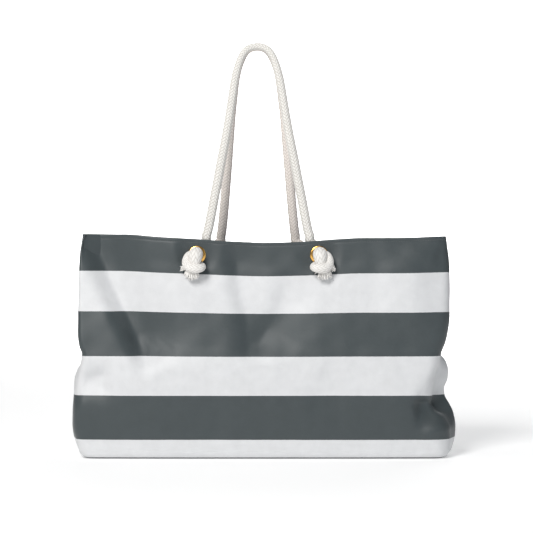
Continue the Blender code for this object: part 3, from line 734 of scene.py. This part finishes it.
def path_frames(path):
    """Two directions across the path at each point, which turn as little as they can."""
    ahead = np.gradient(path, axis=0)
    ahead /= np.linalg.norm(ahead, axis=1, keepdims=True)
    side = np.cross(ahead[0], (0.0, 1.0, 0.0))
    if np.linalg.norm(side) < 0.1:
        side = np.cross(ahead[0], (1.0, 0.0, 0.0))
    sides = []
    for direction in ahead:
        side = side - direction * (side @ direction)
        side /= np.linalg.norm(side)
        sides.append(side)
    sides = np.array(sides)
    return sides, np.cross(ahead, sides)


def braid_relief(angle, run, strands, pitch):
    """0 between strands, 1 on top of them. Each strand goes over two and under two."""
    one = strands * (angle / (2 * math.pi) + run / pitch)
    two = strands * (angle / (2 * math.pi) - run / pitch)
    turn = (np.floor(one) + np.floor(two)) % 4
    on_top = turn < 2
    across = 2 * np.where(on_top, one % 1, two % 1) - 1
    along_one = (np.floor(one) + two) % 4
    along_two = (np.floor(two) + one) % 4 - 2
    along = np.where(on_top, along_one, along_two) - 1
    pillow = (1 - np.abs(across) ** 2.2) ** 0.75 * (1 - np.clip(np.abs(along), 0, 1) ** 4) ** 0.5
    return pillow * (0.94 + 0.06 * np.cos(across * 3 * math.pi))


def add_braid(build, path, run, radius, strands=8, pitch=0.043, around=64, depth=0.11):
    """A closed braided tube. radius is a number or one for each point of the path."""
    sides, ups = path_frames(path)
    angle = np.linspace(0, 2 * math.pi, around, endpoint=False)
    angles, runs = np.meshgrid(angle, run)
    relief = braid_relief(angles, runs, strands, pitch)
    radius = np.broadcast_to(np.asarray(radius, float), (len(path),))[:, None]
    reach = radius * (1 - depth + depth * 1.25 * relief)
    places = (
        path[:, None] + sides[:, None] * (np.cos(angles) * reach)[..., None]
        + ups[:, None] * (np.sin(angles) * reach)[..., None]
    )
    build.tube(places, relief)


def leg_below_hem(face, side):
    """From the hem down to the join, and on from there to the knot, as in the CAD."""
    sign, outwards = FACE_SIGN[face], SIDE_SIGN[side]
    leg_x = HANDLE_X + outwards * LEG_SPREAD[face]
    eyelet = EYELETS[face, side]
    turn_height = eyelet.z + TURN_RADIUS
    inside = [
        (leg_x, sign * LEG_DEPTH, END_TOP - FOOT_STRAIGHT * 0.7),
        (mix(leg_x, eyelet.x, 0.40), sign * mix(LEG_DEPTH, INNER_DEPTH, 0.7),
         mix(END_TOP, turn_height, 0.54)),
        (mix(leg_x, eyelet.x, 0.85), sign * INNER_DEPTH, turn_height),
    ]
    turn = []
    for angle in (30.0, 60.0, 90.0):
        a = math.radians(angle)
        depth = TURN_DEPTH - TURN_RADIUS * math.cos(a)
        x = mix(leg_x, eyelet.x, 0.85 + 0.15 * math.sin(a))
        turn.append((x, sign * depth, turn_height - TURN_RADIUS * math.sin(a)))
    turn.append((eyelet.x, sign * TOP_DEPTH, eyelet.z))
    return inside, turn


def handle_route(face):
    sign, spread = FACE_SIGN[face], LEG_SPREAD[face]
    right = []
    for drop, half_spread in LOOP[face]:
        share = drop / (APEX_HEIGHT - LOOP_FOOT)
        x = HANDLE_X + half_spread + APEX_LEAN * (1.0 - share) ** 2
        right.append((x, sign * mix(APEX_DEPTH, LEG_DEPTH, share), APEX_HEIGHT - drop))
    left = [(x - 2 * half, y, z) for (x, y, z), (_, half) in zip(right, LOOP[face])]
    right.append((HANDLE_X + spread, sign * LEG_DEPTH, LOOP_FOOT + FOOT_STRAIGHT))
    left.append((HANDLE_X - spread, sign * LEG_DEPTH, LOOP_FOOT + FOOT_STRAIGHT))
    right += leg_below_hem(face, "right")[0]
    left += leg_below_hem(face, "left")[0]
    return left[:0:-1] + right


def make_handle(face, finish):
    path, run = even_path(smooth_path(handle_route(face), ROUTE_SPACING), BRAID_SPACING)
    build = Build()
    add_braid(build, path, run, ROPE_SWELL(path[:, 2]))
    piece = build.finish(f"{face}_handle_braided_rope", finish)
    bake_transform(piece)
    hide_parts(f"{face}_handle_rope")


# ---- Knots -----------------------------------------------
# Each stretch has (place, radius) pairs in mm. A place is (outwards, away from the face, up) from
# the grommet's middle. The loosened rope is fatter than the handle's.
STUB_RADIUS = 7.4
KNOT_LOBE = (
    ((0, 4, 0.5), 7.6), ((0.4, 9, 1.2), 9.6), ((1.0, 15, 1.2), 11.2), ((1.4, 20, -2.0), 11.2),
    ((1.8, 21, -8), 10.0), ((2.5, 18, -14), 8.4), ((3, 14, -19), 7.0),
)
KNOT_WRAP = (
    ((5, 6, 1), 4.6), ((9, 9, 1.5), 5.0), ((12.5, 13, -0.5), 5.6), ((14.8, 16, -5), 6.4),
    ((15.6, 17.5, -10.5), 7.4), ((14.5, 20, -16), 7.6), ((10, 23, -20), 7.8), ((3, 25, -21.4), 8.0),
    ((-4, 24, -21.2), 7.4), ((-8.8, 20, -20), 6.2), ((-8, 14, -17.5), 5.6), ((-2, 9, -14), 5.0),
)
TASSEL_MIDDLE, TASSEL_SPREAD, TASSEL_TOP = 7.8, 9.2, -23.0
TASSEL_AWAY = 15  # of its middle, from the face
TASSEL_YARNS, TUFTS = 110, 26


def knot_points(face, side, route):
    sign, outwards = FACE_SIGN[face], SIDE_SIGN[side]
    eyelet = EYELETS[face, side]
    points = []
    for out, away, up in route:
        points.append((eyelet.x + outwards * out / 1000, sign * (TOP_DEPTH + away / 1000),
                       eyelet.z + up / 1000))
    return points


def add_yarn(build, points, radius, sides=6):
    """A thin strand that tapers to its loose end."""
    path, run = even_path(smooth_path(points, 0.002), 0.0016)
    across, up = path_frames(path)
    angle = np.linspace(0, 2 * math.pi, sides, endpoint=False)
    taper = radius * (1 - 0.45 * (run / run[-1]) ** 3)
    places = path[:, None] + taper[:, None, None] * (
        across[:, None] * np.cos(angle)[None, :, None] + up[:, None] * np.sin(angle)[None, :, None]
    )
    # One half of each yarn is a touch darker: painted shade.
    relief = 0.75 + 0.25 * (angle < math.pi)
    build.tube(places, np.tile(relief, (len(path), 1)))


def tassel_yarns(build, face, side, source):
    """The rope's end, unlaid into yarns below the knot, and a few short tufts beside it."""
    for _ in range(TASSEL_YARNS):
        turn, reach = source.uniform(0, 2 * math.pi), math.sqrt(source.uniform(0, 1))
        out, away = reach * math.cos(turn), reach * math.sin(turn)
        top = (TASSEL_MIDDLE + TASSEL_SPREAD * 0.8 * out, TASSEL_AWAY + 6.0 * away, TASSEL_TOP)
        flare = source.uniform(1.1, 1.55)
        length = source.uniform(10, 19) * (1.0 - 0.25 * abs(out))
        end = (TASSEL_MIDDLE + TASSEL_SPREAD * flare * out + source.normal(0, 1.2),
               TASSEL_AWAY + 6.5 * flare * away + source.normal(0, 1.2), TASSEL_TOP - length)
        mid = tuple(mix(a, b, 0.5) + source.normal(0, 0.8) for a, b in zip(top, end))
        add_yarn(build, knot_points(face, side, (top, mid, end)), source.uniform(0.0007, 0.0012))
    for _ in range(TUFTS):
        top = (source.uniform(15, 20), source.uniform(13, 20), source.uniform(-24, -16))
        end = (top[0] + source.uniform(2, 8), top[1] + source.uniform(-2, 3),
               top[2] - source.uniform(0, 7))
        mid = tuple(mix(a, b, 0.5) + source.normal(0, 0.8) for a, b in zip(top, end))
        add_yarn(build, knot_points(face, side, (top, mid, end)), source.uniform(0.00045, 0.0009))


def add_knot_rope(build, points, radii):
    """A braided stretch through the points, as fat at each as its radius in mm says."""
    path, run = even_path(smooth_path(points, 0.002), 0.0009)
    places = [run[np.linalg.norm(path - np.array(point), axis=1).argmin()] for point in points]
    fat = smooth_curve(*zip(places, np.array(radii) / 1000))
    add_braid(build, path, run, fat(run), strands=12, pitch=0.058, around=72, depth=0.05)


def make_knot(face, side, finish, seed):
    source = np.random.default_rng(seed)
    inside, turn = leg_below_hem(face, side)
    lobe = knot_points(face, side, [place for place, _ in KNOT_LOBE])
    stub = [inside[-1], *turn[:-1]]
    build = Build()
    radii = [STUB_RADIUS] * len(stub) + [radius for _, radius in KNOT_LOBE]
    add_knot_rope(build, [*stub, *lobe], radii)
    wrap = knot_points(face, side, [place for place, _ in KNOT_WRAP])
    add_knot_rope(build, wrap, [radius for _, radius in KNOT_WRAP])
    tassel_yarns(build, face, side, source)
    piece = build.finish(f"{face}_{side}_rope_knot", finish)
    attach(piece, "bag")
    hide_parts(f"{face}_{side}_rope_end")


# ---- Grommets --------------------------------------------
RING_SEGMENTS = 96


def turned_ring(name, profile, face, side, finish):
    """A ring about a grommet's axis. The profile is (radius, outwards from the cloth) in mm."""
    sign, eyelet = FACE_SIGN[face], EYELETS[face, side]
    build = Build()
    angle = np.linspace(0, 2 * math.pi, RING_SEGMENTS, endpoint=False)
    rows = []
    for radius, out in profile:
        x, z = eyelet.x + radius / 1000 * np.cos(angle), eyelet.z + radius / 1000 * np.sin(angle)
        rows.append(np.stack([x, np.full_like(x, sign * (TOP_DEPTH + out / 1000)), z], axis=1))
    start = build.add(rows)
    build.grid_faces(start, len(rows), RING_SEGMENTS, close_rows=True, close_columns=True)
    piece = build.finish(name, finish, sharp_angle=50)
    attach(piece, "bag")
    return piece


def arc(centre, radius, start, end, steps):
    """Points of a round edge, with angles in degrees."""
    angles = np.radians(np.linspace(start, end, steps))
    return [(centre[0] + radius * math.cos(a), centre[1] + radius * math.sin(a)) for a in angles]


def make_grommet(face, side, finish):
    flange = [*arc((13.4, 0.55), 0.85, -30, 80, 6), (11.4, 1.85),
              *arc((9.6, 0.6), 1.35, 95, 180, 7), (8.2, -3.6),
              *arc((9.4, -4.5), 1.1, 170, 265, 5), (10.5, -4.8), (10.4, -4.55), (9.0, -4.55),
              (9.0, 0.05)]
    washer = [(9.25, -3.5), (13.4, -3.5), (13.5, -3.7), (13.3, -4.15), (12.9, -4.3), (9.4, -4.3),
              (9.25, -4.1)]
    ring = turned_ring(f"{face}_{side}_brass_eyelet", flange, face, side, finish)
    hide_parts(f"{face}_{side}_grommet_eyelet")
    backing = turned_ring(f"{face}_{side}_brass_washer", washer, face, side, finish)
    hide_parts(f"{face}_{side}_grommet_washer")


# ---- The bag's cloth -------------------------------------
OUTER, FACING, LINING = (0.0, 0.0015), (0.0017, 0.0029), (0.0020, 0.0030)
FACING_HEIGHT = 0.048
LINING_OVERLAP = 0.002  # how far the lining laps over the facing's lower edge
EDGE_ROUND = 0.0006  # how far a hem's rounded edge stands above its faces


def make_cloth(face, finishes):
    surface = panel_surface(face)
    heights = np.array(panel_rows())
    top = np.flatnonzero(heights >= HEM - FACING_HEIGHT)
    below = np.flatnonzero(heights < HEM - FACING_HEIGHT + LINING_OVERLAP)
    outer = cloth_sheet(f"{face}_outer_canvas", surface, OUTER, finishes["canvas"],
                        has_base=True, edge_round=EDGE_ROUND)
    facing = cloth_sheet(f"{face}_top_facing", surface, FACING, finishes["facing"], rows=top,
                         edge_round=EDGE_ROUND)
    lining = cloth_sheet(f"{face}_lining", surface, LINING, finishes["lining"], rows=below,
                         has_base=True)
    pieces = ((outer, f"outer_{face}_panel", "canvas"), (facing, f"top_facing_{face}", "facing"),
              (lining, f"lining_{face}_panel", "lining"))
    for piece, node, slot in pieces:
        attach(piece, "bag")
        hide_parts(node)
    return surface


STITCH, STITCH_GAP, THREAD_RADIUS = 0.0030, 0.0009, 0.00028
SEAM_MARGIN = 0.002  # from a gusset's seam to the first stitch


def add_stitch(build, start, end, outwards):
    """One stitch: a short thread that dips into the cloth at both ends."""
    sides, rings = 6, 7
    share = np.linspace(0, 1, rings)[:, None]
    arch = outwards * (THREAD_RADIUS * 0.7) * np.sin(math.pi * share)
    path = start + (end - start) * share + arch
    ahead = (end - start) / np.linalg.norm(end - start)
    beside = np.cross(ahead, outwards)
    thick = THREAD_RADIUS * np.sin(math.pi * (0.12 + 0.76 * share[:, 0])) ** 0.5
    angle = np.linspace(0, 2 * math.pi, sides, endpoint=False)
    around = np.cos(angle)[:, None] * beside + np.sin(angle)[:, None] * outwards
    build.tube(path[:, None] + thick[:, None, None] * around[None])


def make_stitching(face, surface, finish):
    """The hem's line of stitches, on the outside of a panel."""
    grid, offsets, _ = surface
    row = int(np.abs(np.array(panel_rows()) - (HEM - HEM_ALLOWANCE)).argmin())
    line, away = grid[row], offsets[row]
    run = np.concatenate([[0], np.cumsum(np.linalg.norm(np.diff(line, axis=0), axis=1))])

    def at(distance, values):
        return np.array([np.interp(distance, run, values[:, axis]) for axis in range(3)])

    build = Build()
    for index in range(int((run[-1] - 2 * SEAM_MARGIN) / (STITCH + STITCH_GAP))):
        begin = SEAM_MARGIN + index * (STITCH + STITCH_GAP)
        outwards = at(begin + STITCH / 2, away)
        outwards /= np.linalg.norm(outwards)
        add_stitch(build, at(begin, line), at(begin + STITCH, line), outwards)
    piece = build.finish(f"{face}_hem_stitching", finish)
    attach(piece, "bag")


# ---- Studio ----------------------------------------------
CAMERA_DISTANCE = 2.55  # from the front of the hem
VIEW_WIDTH = 0.8489  # what the picture takes in at the front of the hem
CAMERA_X, CAMERA_Z = 0.0051, 0.3048
SENSOR_WIDTH = 36.0  # mm, as lens lengths are
LIGHT_AIM = Vector((0.0, 0.0, 0.22))
LIGHTS = {  # place, size, power in watts, colour and share of gloss
    "key": ((-1.75, -3.95, 3.0), 1.7, 196.0, (1.0, 0.99, 0.975), 1.0),
    "fill": ((1.9, -2.2, 1.0), 1.6, 6.0, (0.75, 0.87, 1.0), 0.0),
    "top": ((-0.4, -0.2, 2.4), 1.4, 10.0, (1.0, 1.0, 1.0), 0.5),
    "rear": ((0.9, 2.2, 1.7), 1.4, 15.0, (1.0, 1.0, 1.0), 0.0),
}
STAGE = {  # half width, (y, z) of two opposite edges, roughness and glow
    "floor": (6.0, (-6.0, 0.0), (6.0, 0.0), 0.9, 0.27),
    "backdrop": (1.3, (3.0, 0.0), (3.0, 1.5), 1.0, 1.2),
}


def make_camera():
    data = bpy.data.cameras.new("camera")
    data.sensor_width = SENSOR_WIDTH
    data.lens = SENSOR_WIDTH * CAMERA_DISTANCE / VIEW_WIDTH
    camera = bpy.data.objects.new("camera", data)
    camera.location = (CAMERA_X, -TOP_DEPTH - CAMERA_DISTANCE, CAMERA_Z)
    camera.rotation_euler = (math.pi / 2, 0.0, 0.0)
    bpy.context.scene.collection.objects.link(camera)
    bpy.context.scene.camera = camera


def make_lights():
    world = bpy.data.worlds.new("studio")
    world.use_nodes = True
    background = world.node_tree.nodes["Background"]
    background.inputs["Color"].default_value = (0.95, 0.97, 1.0, 1.0)
    background.inputs["Strength"].default_value = 0.15
    bpy.context.scene.world = world
    for name, (place, size, power, colour, gloss) in LIGHTS.items():
        data = bpy.data.lights.new(name, "AREA")
        data.specular_factor = gloss
        data.size, data.energy, data.color = size, power, colour
        light = bpy.data.objects.new(name, data)
        light.location = place
        aim = LIGHT_AIM - light.location
        light.rotation_euler = aim.to_track_quat("-Z", "Y").to_euler()
        bpy.context.scene.collection.objects.link(light)


def make_stage():
    for name, (half, near, far, roughness, glow) in STAGE.items():
        build = Build()
        build.add([(-half, *near), (half, *near), (half, *far), (-half, *far)])
        build.faces.append((0, 1, 2, 3))
        finish = studio_material(f"studio_{name}", roughness, glow)
        build.finish(name, finish, smooth=False)
    bpy.context.scene.view_settings.view_transform = "Standard"


def dress(node, finish):
    """A CAD node that keeps its shape gets the finer material."""
    materials = frame["nodes"][node].data.materials
    materials.clear()
    materials.append(finish)


def main():
    make_camera()
    make_lights()
    make_stage()
    finishes = {
        "canvas": canvas_material("striped_canvas", striped=True),
        "facing": canvas_material("charcoal_canvas", striped=False),
        "thread": grained_material("charcoal_thread", (3000.0, 2.0), (0.075, 0.088, 0.092),
                                   (0.140, 0.158, 0.165), (0.2, 0.45), (0.2, 0.0001)),
        "lining": lining_material(),
        "rope_front": rope_material("braided_cotton", (0.50, 0.465, 0.42), (0.80, 0.785, 0.75)),
        # The back handle's cotton is painted darker and warmer than the front's: painted shade.
        "rope_back": rope_material("braided_cotton_painted_shade", (0.52, 0.46, 0.42), (0.79, 0.735, 0.69)),
        "rope_knot": rope_material("knotted_cotton", (0.60, 0.57, 0.53), (0.84, 0.82, 0.79)),
        "brass": metal_material("polished_brass", (0.86, 0.50, 0.14), (0.72, 0.40, 0.10), 0.16),
        "zip_metal": metal_material("zip_brass", (0.74, 0.55, 0.26), (0.60, 0.44, 0.20), 0.28),
        "board": grained_material("grained_board", (700.0, 3.0), (0.13, 0.13, 0.14),
                                  (0.20, 0.20, 0.21), (0.15, 0.6), (0.3, 0.0003)),
        "zip_tape": tape_material(),
    }
    for face in FACE_SIGN:
        make_stitching(face, make_cloth(face, finishes), finishes["thread"])
        make_handle(face, finishes[f"rope_{face}"])
        for index, side in enumerate(SIDE_SIGN):
            make_grommet(face, side, finishes["brass"])
            make_knot(face, side, finishes["rope_knot"], seed=11 + index + 5 * (face == "back"))
    for node, finish in (
        ("base_insert_board", "board"), ("pocket_panel", "lining"),
        ("pocket_zip_tape_lower", "zip_tape"), ("pocket_zip_tape_upper", "zip_tape"),
        ("pocket_zip_chain", "zip_metal"), ("pocket_zip_slider", "zip_metal"),
        ("pocket_zip_pull", "zip_metal"),
    ):
        dress(node, finishes[finish])


main()
